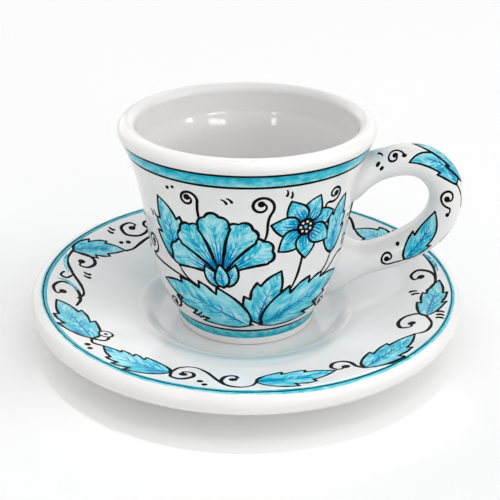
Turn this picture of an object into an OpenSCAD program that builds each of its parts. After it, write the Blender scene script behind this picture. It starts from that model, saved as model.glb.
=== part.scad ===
// Espresso cup with its saucer, in glazed earthenware.
// The cup is a flared bowl with a loop handle luted to its wall, and its foot stands in the saucer's well.
// Z points up, the table is at z = 0, the saucer's axis is the Z axis and the handle points along +X.

/* [Saucer] */
// Outside diameter of the saucer
saucer_d = 120; // [108:1:140]
// Height of the saucer's rim above the table
saucer_h = 16; // [14.5:0.5:22]
// Radius of the saucer's rolled rim
saucer_roll_r = 3.2; // [2.8:0.1:3.8]
// Thickness of the saucer's wall between the foot ring and the rim
saucer_wall = 4.2; // [3.4:0.1:5.2]
// Thickness of the floor under the well
well_floor = 3.4; // [3:0.1:5]
// Radius of the well's flat floor
well_r = 24.2; // [22:0.2:28]
// Width of the rounded step between the well and the flange
well_step_w = 6.3; // [5:0.1:8]
// Height of that step
well_step_h = 3.4; // [2.4:0.1:4.2]
// Outside radius of the ring that the saucer stands on
saucer_ring_r = 32; // [29:0.5:36]
// Width of that ring where it stands
saucer_ring_w = 3.6; // [2.6:0.1:5]
// Height of the hollow inside that ring
saucer_ring_h = 1.3; // [0.8:0.1:2]

/* [Cup] */
// Height of the cup from its foot to its lip
cup_h = 58.1; // [52:0.1:66]
// Outside diameter of the cup at its lip
lip_d = 68; // [62:0.5:76]
// Radius of the cup's rolled lip
lip_roll_r = 2.4; // [2:0.1:2.8]
// Thickness of the cup's wall
cup_wall = 3.5; // [2.8:0.1:4.2]
// Outside diameter of the cup's foot
foot_d = 38.6; // [35:0.2:42]
// Width of the ring that the cup stands on
foot_ring_w = 3.4; // [2.6:0.1:4]
// Depth of the hollow inside that ring
foot_hollow_h = 1.6; // [1:0.1:2.4]
// Thickness of the cup's floor
cup_floor = 4; // [3:0.1:5.5]

/* [Handle] */
// Distance from the cup's axis to the outside of the handle
handle_reach = 57.3; // [55:0.1:59.5]
// Height of the handle's top above the cup's foot
handle_h = 52.9; // [49:0.1:53.5]
// Width of the handle, measured across its loop
handle_width = 11; // [9:0.1:12.5]
// Width of the handle's roots where they meet the wall
root_width = 14.3; // [12.5:0.1:17]
// How far the handle's ends are pressed into the wall
root_bite = 0.6; // [0.4:0.1:0.9]

/* [Hidden] */
$fn = 96;

// The glaze's colour
glaze = [0.93, 0.93, 0.92];

// Points on each smooth stretch between two given points, and on each roll
stretch_steps = 6;
roll_steps = 18;

// Rings on each stretch of the handle, and sides of each ring
handle_steps = 3;
handle_sides = 24;

// Heights of the saucer's pieces above the table
well_z = saucer_ring_h + well_floor;
step_z = well_z + well_step_h;
saucer_r = saucer_d / 2;
step_r = well_r + well_step_w;
saucer_roll_x = saucer_r - saucer_roll_r;
saucer_roll_z = saucer_h - saucer_roll_r;

// Heights of the cup's pieces above the table
cup_z = well_z;
lip_roll_x = lip_d / 2 - lip_roll_r;
lip_roll_z = cup_z + cup_h - lip_roll_r;
foot_r = foot_d / 2;

// The flange between the step and the rim: how far out, and how far up, as shares of its width and rise
flange_shares = [[0, 0], [0.28, 0.31], [0.55, 0.60], [0.80, 0.84], [1, 1]];

// The bowl outside, from the foot to the lip: how far up, as a share of the wall's height, and how far
// out, as a share of the way from the foot's radius to the roll's
bowl_shares = [
    [0, 0], [0.052, 0.021], [0.09, 0.071], [0.116, 0.141], [0.148, 0.219], [0.181, 0.283],
    [0.273, 0.396], [0.403, 0.509], [0.569, 0.594], [0.753, 0.707], [0.901, 0.849], [1, 1]
];
// The lip roll's angle at which the wall runs into it, below the horizontal
wall_meets_roll = 40;
// How far the inside leans in for each millimetre below the lip roll's middle
lip_lean = 0.16;
// The saucer roll's angle at which the underside runs into it, below the horizontal
under_meets_roll = 70;

// The handle's outer edge and its inner edge, from the upper root to the lower one: how far out, as a
// share of the way from the wall to the handle's reach, and how far up, as a share of its height
outer_shares = [
    [0, 0.928], [0.056, 0.947], [0.108, 0.958], [0.192, 0.972], [0.289, 0.988], [0.45, 0.998],
    [0.666, 0.978], [0.856, 0.916], [0.972, 0.823], [1, 0.706], [0.947, 0.583], [0.828, 0.48],
    [0.684, 0.404], [0.531, 0.346], [0.397, 0.314], [0.28, 0.284], [0.19, 0.24], [0.124, 0.195],
    [0.062, 0.157], [0, 0.138]
];
inner_shares = [
    [0, 0.671], [0.082, 0.716], [0.154, 0.766], [0.253, 0.811], [0.388, 0.838], [0.488, 0.843],
    [0.567, 0.833], [0.635, 0.804], [0.68, 0.769], [0.696, 0.719], [0.672, 0.654], [0.604, 0.594],
    [0.502, 0.542], [0.4, 0.502], [0.325, 0.476], [0.255, 0.457], [0.19, 0.449], [0.127, 0.452],
    [0.066, 0.466], [0, 0.49]
];
// The shares of the handle's length over which its two roots widen
upper_root_share = 0.16;
lower_root_share = 0.28;

// A point of a cubic curve that runs through b and c, with a and d as its neighbours
function through(a, b, c, d, t) =
    let (tb = (c - a) / 2, tc = (d - b) / 2)
    (2*t^3 - 3*t^2 + 1) * b + (t^3 - 2*t^2 + t) * tb + (3*t^2 - 2*t^3) * c + (t^3 - t^2) * tc;

// A smooth line through all the points of a list
function smooth(points, steps) = let (end = len(points) - 1) [
    for (i = [0 : end - 1], k = [0 : steps - 1])
        through(points[max(i - 1, 0)], points[i], points[i + 1], points[min(i + 2, end)], k / steps),
    points[end]
];

// A line without its first point, a line without its last one, and a line from its end to its start
function but_first(line) = [for (i = [1 : len(line) - 1]) line[i]];
function but_last(line) = [for (i = [0 : len(line) - 1]) if (i < len(line) - 1) line[i]];
function backwards(line) = [for (i = [len(line) - 1 : -1 : 0]) line[i]];

// An arc about a centre, from one angle to another
function arc(centre, r, from, to, steps) = [
    for (k = [0 : steps]) let (a = from + (to - from) * k / steps) centre + r * [cos(a), sin(a)]
];

// A table of shares between a first and a last point
function between(shares, first, last) = [
    for (s = shares) [first.x + (last.x - first.x) * s.x, first.y + (last.y - first.y) * s.y]
];

// A soft step from 0 to 1
function ease(t) = let (u = min(max(t, 0), 1)) u * u * (3 - 2 * u);

// The saucer's upper side, from the axis to the roll
flange_start = [step_r, step_z];
flange_end = [saucer_roll_x, saucer_h];
flange_line = smooth(between(flange_shares, flange_start, flange_end), stretch_steps);
step_line = [
    for (k = [0 : roll_steps]) [well_r + well_step_w * k / roll_steps, well_z + well_step_h * ease(k / roll_steps)]
];

// Half of the saucer's section
module saucer_section() {
    ring_in = saucer_ring_r - saucer_ring_w;
    under = [
        for (p = backwards(flange_line))
            if (p.x > saucer_ring_r + saucer_wall / 2 && p.x < saucer_roll_x - saucer_roll_r) p - [0, saucer_wall]
    ];
    polygon(concat(
        [[0, saucer_ring_h], [0, well_z]],
        step_line,
        but_last(but_first(flange_line)),
        arc([saucer_roll_x, saucer_roll_z], saucer_roll_r, 90, -under_meets_roll, roll_steps),
        under,
        [[saucer_ring_r, 0], [ring_in, 0], [ring_in - saucer_ring_h, saucer_ring_h]]
    ));
}

// The saucer, with its foot ring, well, flange and rolled rim
module saucer() {
    color(glaze) rotate_extrude() saucer_section();
}

// The bowl outside, from the foot up to where the roll starts
wall_top = [lip_roll_x, lip_roll_z] + lip_roll_r * [cos(wall_meets_roll), -sin(wall_meets_roll)];
wall_points = [
    for (s = bowl_shares) [foot_r + (wall_top.x - foot_r) * s.y, cup_z + (wall_top.y - cup_z) * s.x]
];
wall_line = smooth(wall_points, stretch_steps);

// The bowl's outside radius at a height
function wall_r(z) = lookup(z, [for (p = wall_line) [p.y, p.x]]);

// The bowl inside, above its rounded corner. Near the lip it runs on from the roll, and so leaves no groove under it
inside_z = cup_z + foot_hollow_h + cup_floor;
inside_corner = foot_r * 0.55;
function under_roll(z) = lip_roll_x - lip_roll_r - lip_lean * (lip_roll_z - z);
inside_line = [
    for (p = wall_line)
        if (p.y > inside_z + inside_corner && p.y < lip_roll_z - lip_roll_r)
            [min(p.x - cup_wall, under_roll(p.y)), p.y]
];

// Half of the bowl's section
module bowl_section() {
    start = inside_line[0];
    corner_x = start.x - inside_corner;
    ring_in = foot_r - foot_ring_w;
    polygon(concat(
        [[0, cup_z + foot_hollow_h], [0, inside_z]],
        [for (k = [0 : roll_steps]) let (a = 90 * k / roll_steps)
            [corner_x + (start.x - corner_x) * sin(a), start.y - (start.y - inside_z) * cos(a)]],
        but_first(inside_line),
        arc([lip_roll_x, lip_roll_z], lip_roll_r, 180, -wall_meets_roll, roll_steps),
        but_first(backwards(wall_line)),
        [[ring_in, cup_z], [ring_in - foot_hollow_h, cup_z + foot_hollow_h]]
    ));
}

// The cup's bowl, with its foot ring and rolled lip
module cup_bowl() {
    color(glaze) rotate_extrude() bowl_section();
}

// A handle edge, as distance from the cup's axis and height
function edge_line(shares) = smooth([
    for (e = shares)
        let (z = cup_z + handle_h * e.y, wall = wall_r(z) - root_bite)
        [wall + (handle_reach - wall) * e.x, z]
], handle_steps);
outer_line = edge_line(outer_shares);
inner_line = edge_line(inner_shares);
handle_last = len(outer_line) - 1;

// How wide the handle is at a share of its length
function width_at(t) =
    handle_width + (root_width - handle_width)
        * max(1 - ease(t / upper_root_share), 1 - ease((1 - t) / lower_root_share));

// How far out a point of the pressed-in end lies, so that the end follows the wall
function pressed_x(y, z) = let (r = wall_r(z) - root_bite) sqrt(r * r - y * y);

// One ring of points round the handle, the first and the last following the wall
function handle_ring(i) =
    let (out = outer_line[i], in = inner_line[i], mid = (out + in) / 2, half = (out - in) / 2,
         wide = width_at(i / handle_last) / 2)
    [
        for (k = [0 : handle_sides - 1])
            let (a = 360 * k / handle_sides, y = wide * sin(a), p = mid + half * cos(a))
            (i == 0 || i == handle_last) ? [pressed_x(y, p.y), y, p.y] : [p.x, y, p.y]
    ];

// The middle of a pressed-in end
function end_middle(i) = let (z = (outer_line[i].y + inner_line[i].y) / 2) [pressed_x(0, z), 0, z];

// The loop handle, an oval strap whose roots widen into the wall
module cup_handle() {
    rings = [for (i = [0 : handle_last]) handle_ring(i)];
    last = handle_last * handle_sides;
    top = last + handle_sides;
    points = concat([for (r = rings, p = r) p], [end_middle(0), end_middle(handle_last)]);
    sides = [
        for (i = [0 : handle_last - 1], k = [0 : handle_sides - 1])
            let (a = i * handle_sides + k, b = i * handle_sides + (k + 1) % handle_sides)
            each [[a, b, b + handle_sides], [a, b + handle_sides, a + handle_sides]]
    ];
    ends = [
        for (k = [0 : handle_sides - 1])
            let (n = (k + 1) % handle_sides)
            each [[n, k, top], [last + k, last + n, top + 1]]
    ];
    color(glaze) polyhedron(points, concat(sides, ends));
}

saucer();
cup_bowl();
cup_handle();
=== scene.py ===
"""Espresso cup with saucer: glazed earthenware with a painted decoration, on a pale studio floor."""
import bpy
import random
from math import atan2, cos, degrees, dist, hypot, pi, radians, sin, sqrt
from mathutils import Matrix, Vector
from mathutils.geometry import delaunay_2d_cdt


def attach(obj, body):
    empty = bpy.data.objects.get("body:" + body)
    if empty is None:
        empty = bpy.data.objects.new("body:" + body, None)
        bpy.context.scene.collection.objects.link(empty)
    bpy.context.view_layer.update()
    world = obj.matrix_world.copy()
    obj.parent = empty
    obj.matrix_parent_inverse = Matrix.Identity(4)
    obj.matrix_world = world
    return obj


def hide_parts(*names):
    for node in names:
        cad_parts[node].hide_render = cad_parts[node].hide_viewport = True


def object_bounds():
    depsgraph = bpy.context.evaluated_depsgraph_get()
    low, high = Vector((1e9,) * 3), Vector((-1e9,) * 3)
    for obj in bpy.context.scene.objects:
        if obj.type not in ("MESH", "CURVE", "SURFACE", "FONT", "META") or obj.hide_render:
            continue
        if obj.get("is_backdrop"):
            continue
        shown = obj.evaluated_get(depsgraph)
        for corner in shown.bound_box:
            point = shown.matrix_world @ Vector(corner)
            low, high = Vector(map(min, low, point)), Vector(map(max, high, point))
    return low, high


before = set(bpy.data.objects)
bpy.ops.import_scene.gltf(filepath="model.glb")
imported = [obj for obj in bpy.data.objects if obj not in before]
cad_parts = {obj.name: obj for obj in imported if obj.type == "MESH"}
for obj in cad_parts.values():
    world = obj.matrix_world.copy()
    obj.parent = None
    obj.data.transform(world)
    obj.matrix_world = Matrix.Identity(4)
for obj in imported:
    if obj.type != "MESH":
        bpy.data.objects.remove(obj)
cad_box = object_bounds()
MM = 0.001

# Sizes in millimetres, the same as the CAD's
SAUCER_R, SAUCER_H, ROLL_R, SAUCER_WALL = 60.0, 16.0, 3.2, 4.2
RING_R, RING_W, RING_H, WELL_FLOOR = 32.0, 3.6, 1.3, 3.4
WELL_R, STEP_W, STEP_H = 24.2, 6.3, 3.4
CUP_H, LIP_R, LIP_ROLL, LIP_LEAN, CUP_WALL = 58.1, 34.0, 2.4, 0.16, 3.5
FOOT_R, FOOT_RING_W, FOOT_HOLLOW, CUP_FLOOR = 19.3, 3.4, 1.6, 4.0
REACH, HANDLE_H, HANDLE_W, ROOT_W, BITE = 57.3, 52.9, 11.0, 14.3, 0.6
WELL_Z = RING_H + WELL_FLOOR
CUP_Z = WELL_Z

# Lines in shares of the way: the flange and the handle's two edges as (out, up), the bowl as (up, out)
FLANGE = [(0, 0), (0.28, 0.31), (0.55, 0.60), (0.80, 0.84), (1, 1)]
BOWL = [(0, 0), (0.052, 0.021), (0.09, 0.071), (0.116, 0.141), (0.148, 0.219), (0.181, 0.283),
        (0.273, 0.396), (0.403, 0.509), (0.569, 0.594), (0.753, 0.707), (0.901, 0.849), (1, 1)]
OUTER = [(0, 0.928), (0.056, 0.947), (0.108, 0.958), (0.192, 0.972), (0.289, 0.988), (0.45, 0.998),
         (0.666, 0.978), (0.856, 0.916), (0.972, 0.823), (1, 0.706), (0.947, 0.583), (0.828, 0.48),
         (0.684, 0.404), (0.531, 0.346), (0.397, 0.314), (0.28, 0.284), (0.19, 0.24), (0.124, 0.195),
         (0.062, 0.157), (0, 0.138)]
INNER = [(0, 0.671), (0.082, 0.716), (0.154, 0.766), (0.253, 0.811), (0.388, 0.838), (0.488, 0.843),
         (0.567, 0.833), (0.635, 0.804), (0.68, 0.769), (0.696, 0.719), (0.672, 0.654), (0.604, 0.594),
         (0.502, 0.542), (0.4, 0.502), (0.325, 0.476), (0.255, 0.457), (0.19, 0.449), (0.127, 0.452),
         (0.066, 0.466), (0, 0.49)]


def smooth(points, steps):
    """A smooth line through all the points."""
    end, out = len(points) - 1, []
    for i in range(end):
        a, b, c, d = points[max(i - 1, 0)], points[i], points[i + 1], points[min(i + 2, end)]
        for k in range(steps):
            t = k / steps
            h = (2*t**3 - 3*t**2 + 1, t**3 - 2*t**2 + t, 3*t**2 - 2*t**3, t**3 - t**2)
            out.append(tuple(h[0]*b[j] + h[1]*(c[j] - a[j])/2 + h[2]*c[j] + h[3]*(d[j] - b[j])/2
                             for j in range(len(b))))
    return out + [points[end]]


def polar(r, degrees, cx=0.0, cy=0.0):
    """The point at radius r and an angle round (cx, cy)."""
    a = radians(degrees)
    return (cx + r*cos(a), cy + r*sin(a))


def arc(cx, cy, r, a0, a1, n):
    """n steps of an arc round (cx, cy), from a0 to a1 degrees."""
    return [polar(r, a0 + (a1 - a0)*k/n, cx, cy) for k in range(n + 1)]


def bezier(p0, p1, p2, n):
    """n steps of a quadratic curve from p0 to p2."""
    return [tuple((1-t)**2*p0[j] + 2*t*(1-t)*p1[j] + t*t*p2[j] for j in (0, 1))
            for t in (k/n for k in range(n + 1))]


def mix(a, b, t):
    """The point a share t of the way from a to b."""
    return tuple(a[j] + (b[j] - a[j])*t for j in (0, 1))


def placer(base, angle):
    """Places a point given by its distance along and across a line from base at an angle."""
    ca, sa = polar(1.0, angle)
    return lambda along, across: (base[0] + along*ca - across*sa, base[1] + along*sa + across*ca)


def edges_of(poly):
    return zip(poly, poly[1:] + poly[:1])


def doubled_area(poly):
    return sum(a[0]*b[1] - b[0]*a[1] for a, b in edges_of(poly))


def ease(t):
    """From 0 to 1, level at both ends."""
    t = min(max(t, 0.0), 1.0)
    return t*t*(3 - 2*t)


def lookup(x, pairs):
    """y at x on the line through pairs of (x, y)."""
    for (x0, y0), (x1, y1) in zip(pairs, pairs[1:]):
        if x0 <= x <= x1:
            return y0 + (y1 - y0)*(x - x0)/max(x1 - x0, 1e-9)
    return pairs[0][1] if x < pairs[0][0] else pairs[-1][1]


def round_corners(points, radii):
    """points with the corners in radii (index to radius) rounded off."""
    out = []
    for i, p in enumerate(points):
        r = radii.get(i)
        if not r:
            out.append(p)
            continue
        a, b = points[i - 1], points[i + 1]
        la, lb = dist(a, p), dist(b, p)
        ra, rb = min(r, la*0.48), min(r, lb*0.48)
        q = tuple(p[j] + (a[j] - p[j])*ra/la for j in (0, 1))
        s = tuple(p[j] + (b[j] - p[j])*rb/lb for j in (0, 1))
        out += bezier(q, p, s, 6)
    return out


class Profile:
    """A line of (radius, height) from the axis below to the axis above, by length along it."""

    def __init__(self, points):
        self.p = [points[0]]
        for q in points[1:]:
            if dist(q, self.p[-1]) > 1e-4:
                self.p.append(q)
        self.v = [0.0]
        for a, b in zip(self.p, self.p[1:]):
            self.v.append(self.v[-1] + dist(a, b))
        n = []
        for a, b in zip(self.p, self.p[1:]):
            d = dist(a, b)
            n.append(((b[1] - a[1])/d, -(b[0] - a[0])/d))
        self.n = [n[0]]
        for a, b in zip(n, n[1:]):
            m = (a[0] + b[0], a[1] + b[1])
            d = hypot(*m)
            self.n.append((m[0]/d, m[1]/d))
        self.n.append(n[-1])
        self.n[0], self.n[-1] = (0.0, -1.0), (0.0, 1.0)
        self.last = 0

    def at(self, v):
        v = min(max(v, 0.0), self.v[-1])
        i = self.last
        while self.v[i] > v and i > 0:
            i -= 1
        while self.v[i + 1] < v:
            i += 1
        self.last = i
        t = (v - self.v[i])/(self.v[i + 1] - self.v[i])
        return mix(self.p[i], self.p[i + 1], t), mix(self.n[i], self.n[i + 1], t)

    def find(self, test):
        """Length along the line at the first point that passes the test."""
        return next(v for v, p in zip(self.v, self.p) if test(p))

    def reach(self, start, axis, value, sign):
        """Length along the line where the radius (axis 0) or the height (axis 1) comes to value, past start.
        sign is 1 where it rises and -1 where it falls."""
        i = next(k for k, v in enumerate(self.v) if v > start and sign*self.p[k][axis] >= sign*value)
        a, b = self.p[i - 1][axis], self.p[i][axis]
        return self.v[i - 1] + (value - a)/(b - a)*(self.v[i] - self.v[i - 1])


# Profiles
flange_end = (SAUCER_R - ROLL_R, SAUCER_H)
step_end = (WELL_R + STEP_W, WELL_Z + STEP_H)
flange = smooth([(step_end[0] + (flange_end[0] - step_end[0])*a,
                  step_end[1] + (flange_end[1] - step_end[1])*b) for a, b in FLANGE], 12)
step = [(WELL_R + STEP_W*k/24, WELL_Z + STEP_H*ease(k/24)) for k in range(25)]
under = [(x, z - SAUCER_WALL) for x, z in flange if RING_R + SAUCER_WALL/2 < x < SAUCER_R - 2*ROLL_R]
saucer_base = round_corners(
    [(0, RING_H), (RING_R - RING_W - RING_H, RING_H), (RING_R - RING_W, 0), (RING_R, 0), under[0]],
    {1: 1.0, 2: 0.7, 3: 0.9})
saucer_line = Profile(saucer_base[:-1] + under
                      + arc(SAUCER_R - ROLL_R, SAUCER_H - ROLL_R, ROLL_R, -70, 90, 36)
                      + flange[-2:0:-1] + step[::-1] + [(0, WELL_Z)])

meets, roll_z = radians(40), CUP_Z + CUP_H - LIP_ROLL
wall_top = (LIP_R - LIP_ROLL + LIP_ROLL*cos(meets), roll_z - LIP_ROLL*sin(meets))
wall = smooth([(FOOT_R + (wall_top[0] - FOOT_R)*b, CUP_Z + (wall_top[1] - CUP_Z)*a) for a, b in BOWL], 10)
wall_by_z = [(z, r) for r, z in wall]
inside_z = CUP_Z + FOOT_HOLLOW + CUP_FLOOR
corner = FOOT_R*0.55
inside = [(min(r - CUP_WALL, LIP_R - 2*LIP_ROLL - LIP_LEAN*(roll_z - z)), z)
          for r, z in wall if inside_z + corner < z < roll_z - LIP_ROLL]
start = inside[0]
bottom = [(start[0] - corner + corner*sin(radians(3*k)),
           start[1] - (start[1] - inside_z)*cos(radians(3*k))) for k in range(31)]
foot_in = FOOT_R - FOOT_RING_W
cup_base = round_corners(
    [(0, CUP_Z + FOOT_HOLLOW), (foot_in - FOOT_HOLLOW, CUP_Z + FOOT_HOLLOW), (foot_in, CUP_Z),
     (FOOT_R, CUP_Z), wall[6]], {1: 1.0, 2: 0.6, 3: 0.6})
cup_line = Profile(cup_base[:-1] + wall[6:]
                   + arc(LIP_R - LIP_ROLL, roll_z, LIP_ROLL, -38, 180, 40)
                   + inside[::-1] + bottom[::-1] + [(0, inside_z)])

# Painting. A shape is a polygon on a piece's chart: u runs round the piece and v along its profile, in mm.
GLAZE, WASH, DEEP, INK, BAND, BARE = range(6)


class Canvas:
    def __init__(self, radius_at, ref, seam, up=1):
        self.radius_at, self.ref, self.seam, self.up = radius_at, ref, seam, up
        self.width = 2*pi*ref
        self.shapes = []
        self.at(180, 0)

    def at(self, degrees, v, flip=1):
        """Puts the origin of the shapes that follow at an azimuth and a length along the profile."""
        self.deg, self.phi = degrees, radians((degrees - self.seam) % 360)
        self.v0, self.flip = v, flip

    def local(self, degrees, v):
        """The shape coordinates of an azimuth and a length along the profile."""
        d = (degrees - self.deg + 180) % 360 - 180
        return (radians(d)*self.radius_at(v), (v - self.v0)*self.up)

    def stroke(self, base, angle, length, half, seed):
        """A stroke of wash from base, at an angle in radians, in the form that brush_at reads."""
        return ("leaf", self.phi, self.v0, self.flip, base, angle, length, half, seed)

    def chart(self, p):
        """The chart's (u, v) of a shape's point."""
        v = self.v0 + self.up*p[1]
        return ((self.phi + p[0]*self.flip/self.radius_at(v))*self.ref, v)

    def add(self, kind, points, brush=None):
        """Adds a convex polygon."""
        pts = [self.chart(p) for p in points]
        area = doubled_area(pts)
        if abs(area) < 0.004*max(dist(a, b) for a, b in edges_of(pts)):
            return
        if area < 0:
            pts.reverse()
        self.shapes.append((kind, pts, brush))

    def strip(self, kind, left, right, brush=None):
        for a, b, c, d in zip(left, left[1:], right[1:], right):
            self.add(kind, [a, b, c], brush)
            self.add(kind, [a, c, d], brush)

    def ring(self, kind, v0, v1, seed, wobble, full, n=240):
        """A band right round the piece, with slightly uneven edges. full is the side of the fuller colour."""
        rng = random.Random(seed)
        waves = [(rng.randint(3, 26), rng.uniform(0, 6.3), rng.uniform(0.2, 1)) for _ in range(14)]

        def edge(v, k):
            out = []
            for i in range(n + 1):
                a = 2*pi*i/n
                w = sum(s*sin(m*a + ph + k) for m, ph, s in waves)/len(waves)
                out.append((self.width*i/n, v + 2*wobble*w))
            return out
        low, high = edge(v0, 0.0), edge(v1, 2.1)
        for i in range(n):
            self.shapes.append((kind, [low[i], low[i + 1], high[i + 1], high[i]],
                                ("ring", v0, v1, seed) if full > 0 else ("ring", v1, v0, seed)))


def ribbon(cv, kind, points, width, brush=None, ends=True):
    """A brush stroke along points, width(t) wide."""
    n = len(points) - 1
    left, right = [], []
    for i, p in enumerate(points):
        a, b = points[max(i - 1, 0)], points[min(i + 1, n)]
        d = max(dist(a, b), 1e-9)
        nx, ny = -(b[1] - a[1])/d, (b[0] - a[0])/d
        w = width(i/n)/2
        left.append((p[0] + nx*w, p[1] + ny*w))
        right.append((p[0] - nx*w, p[1] - ny*w))
    cv.strip(kind, left, right, brush)
    if ends:
        for i in (0, n):
            r = width(i/n)/2
            if r > 0.09:
                disc(cv, kind, points[i], r, brush, 8)


def disc(cv, kind, centre, r, brush=None, n=14):
    cv.add(kind, [(centre[0] + r*cos(2*pi*k/n), centre[1] + r*sin(2*pi*k/n))
                  for k in range(n)], brush)


def taper(wide, thin, lead=0.12):
    """A stroke that swells and then thins out."""
    return lambda t: thin + (wide - thin)*(min(1.0, t/lead) if t < lead else 1 - ((t - lead)/(1 - lead))**1.6)


def even(w, seed):
    """A nearly even stroke, w wide."""
    return lambda t: w*(1 + 0.16*sin(9*t + seed) + 0.08*sin(23*t + 2.1*seed))


def leaf(cv, base, angle, length, half, bend=0.0, teeth=2, seed=0, fan=False, ink=0.80, tip=0.0):
    """A pointed leaf: wash, blue veins and a dark outline. teeth is the number of teeth a side."""
    rng = random.Random(seed*7 + 3)
    on_base = placer(base, angle)
    mid = bezier((0, 0), (0.5*length, bend*length), (length, tip*length), 40)

    def place(t, off):
        x = min(max(t, 0), 1)*40
        i = min(int(x), 39)
        p = mix(mid[i], mid[i + 1], x - i)
        d = [mid[i + 1][j] - mid[i][j] for j in (0, 1)]
        n = hypot(*d)
        return on_base(p[0] - d[1]/n*off, p[1] + d[0]/n*off)

    def env(t):
        return 3.0*half*(t**0.64)*(1 - t)

    brush = cv.stroke(base, radians(angle), length, half, rng.uniform(0, 50))
    sides, outlines = [], []
    for side in (1, -1):
        cuts = [0.0]
        if teeth:
            first = 0.40 + rng.uniform(-0.05, 0.05)
            cuts += [first + (0.92 - first)*k/teeth + rng.uniform(-0.02, 0.02) for k in range(teeth)]
        cuts.append(1.0)
        line = []
        for k, (t0, t1) in enumerate(zip(cuts, cuts[1:])):
            piece = []
            last = k == len(cuts) - 2
            grow = 0.17 if not last else 0.0
            for j in range(9):
                f = j/8
                t = t0 + (t1 - t0)*f
                low = 1.0 if k == 0 else 0.80 + 0.20*min(1.0, f*1.8)
                piece.append(place(t + (0.025*f if not last else 0), side*env(t)*(low + grow*f*f)))
            line += piece
            outlines.append((piece, even(ink, seed + k + side) if not last else
                             (lambda t, s=seed + side: ink*(1.05 - 0.22*t)*(1 + 0.1*sin(8*t + s)))))
            if not last:
                nxt = place(t1, side*env(t1)*0.80)
                outlines.append(([piece[-1], nxt], even(ink*0.9, seed)))
        sides.append(line)
    cv.strip(WASH, sides[0], sides[1], brush)
    # Veins
    if fan:
        for k in range(5):
            off = abs(k - 2)
            pts = [place(0.03 + 0.62*t*(1 - 0.10*off), (k - 2)*0.27*env(0.03 + 0.62*t)*1.15)
                   for t in (i/8 for i in range(9))]
            ribbon(cv, DEEP, pts, taper(0.62 - 0.07*off, 0.06), brush, False)
    else:
        ribbon(cv, DEEP, [place(0.02 + 0.72*i/10, 0) for i in range(11)], taper(0.62, 0.08), brush, False)
        for side in (1, -1):
            for k in range(4):
                t = 0.16 + 0.12*k + rng.uniform(-0.02, 0.02)
                reach = 0.46*env(t)*rng.uniform(0.6, 1.05)
                pts = [place(t + 0.10*f, side*reach*f) for f in (i/4 for i in range(5))]
                ribbon(cv, DEEP, pts, taper(0.32, 0.05, 0.2), brush, False)
    for pts, w in outlines:
        ribbon(cv, INK, pts, w, ("ink", seed))


def leaf_to(cv, base, tip, half, **more):
    angle = degrees(atan2(tip[1] - base[1], tip[0] - base[0]))
    leaf(cv, base, angle, dist(base, tip), half, **more)


def petal(cv, base, angle, length, half, seed):
    """A broad petal with an end of three scallops."""
    place = placer(base, angle)
    brush = cv.stroke(base, radians(angle), length, half, random.Random(seed*11 + 5).uniform(0, 50))
    one, two = ([place(*q) for q in bezier((0, side*0.1*half), (0.42*length, side*0.30*half),
                                           (0.74*length, side*half), 12)] for side in (1, -1))
    end, n = [], 8*3
    for k in range(n + 1):
        a = radians(90 - 180*k/n)
        grow = 0.90 + 0.16*abs(sin(pi*k/8)) if 0 < k < n else 1.0
        end.append(place(0.74*length + 0.26*length*cos(a)*grow, half*sin(a)*grow))
    cv.strip(WASH, one, two, brush)
    cv.strip(WASH, [place(0.70*length, 0)]*n, end, brush)
    for k in range(5):
        off = abs(k - 2)
        pts = [place(length*(0.10 + (0.60 - 0.07*off)*t), (k - 2)*0.34*half*(0.2 + 0.8*t)*0.9)
               for t in (i/7 for i in range(8))]
        ribbon(cv, DEEP, pts, taper(0.50 - 0.06*off, 0.05), brush, False)
    for line in (one, two, end):
        ribbon(cv, INK, line, even(0.80, seed), ("ink", seed))


def daisy(cv, centre, r, petals, half, start, core, seed):
    """An open flower: pointed petals round a disc with dots."""
    for k in range(petals):
        a = start + 360*k/petals
        leaf(cv, placer(centre, a)(0.6*core, 0), a, r - 0.6*core, half, bend=0.05, teeth=0,
             seed=seed + k, fan=True, ink=0.72)
    disc(cv, INK, centre, core + 0.3, ("ink", seed), 22)
    for k in range(7):
        a = 2*pi*k/7 + 0.4
        dot = (centre[0] + 0.62*core*cos(a), centre[1] + 0.62*core*sin(a))
        disc(cv, GLAZE, dot, 0.36, None, 9)
    disc(cv, WASH, centre, 0.5, cv.stroke(centre, 0.3, core*2.2, core, seed + 0.5), 10)


def fan_flower(cv, base, angle, length, seed):
    """A blossom seen from its side: scalloped petals that fan out of a green cup."""
    for k in (0, 4, 1, 3, 2):
        a = angle + (k - 2)*31
        petal(cv, base, a, length*(1.0 - 0.07*abs(k - 2)), length*0.235, seed + k)
    at = placer(base, angle)
    for side in (1, -1):
        leaf(cv, at(-3.6, 0), angle + side*33, 7.4, 1.9, bend=side*0.16, teeth=0, seed=seed + 9 + side, ink=0.72)
    leaf(cv, at(-4.2, 0), angle, 7.2, 1.9, teeth=0, seed=seed + 8, ink=0.72)


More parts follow.
